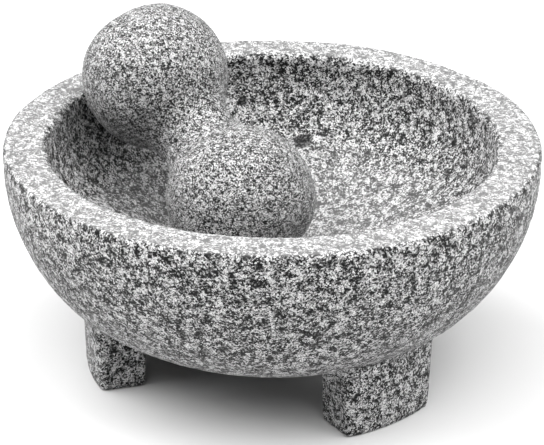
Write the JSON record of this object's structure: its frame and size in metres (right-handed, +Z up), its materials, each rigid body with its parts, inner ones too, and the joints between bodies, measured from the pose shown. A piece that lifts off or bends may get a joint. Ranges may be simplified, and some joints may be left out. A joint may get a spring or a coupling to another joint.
{
  "type": "mortar and pestle",
  "caption": "Carved granite molcajete for grinding: a thick round bowl with a wide flat rim on short legs, and a loose stone pestle with a rounded head at each end.",
  "frame": {"origin": "on the ground, below the centre of the bowl and midway between the feet", "axes": "+Z up along the bowl's axis; one leg stands on +Y, the gap between the other two faces -Y"},
  "size_m": [0.203, 0.203, 0.1305],
  "materials": {
    "mortar_granite": "pecked grey granite, matt, with dark and white grains",
    "pestle_granite": "finely pecked grey granite, matt, with dark and white grains"
  },
  "bodies": {
    "mortar": {"mortar": "mortar_granite"},
    "pestle": {"pestle": "pestle_granite"}
  },
  "joints": [
    {"name": "pestle_lift", "type": "slide", "parent": "mortar", "child": "pestle", "axis": [0, 0, 1], "range_m": [0, 0.12]}
  ]
}
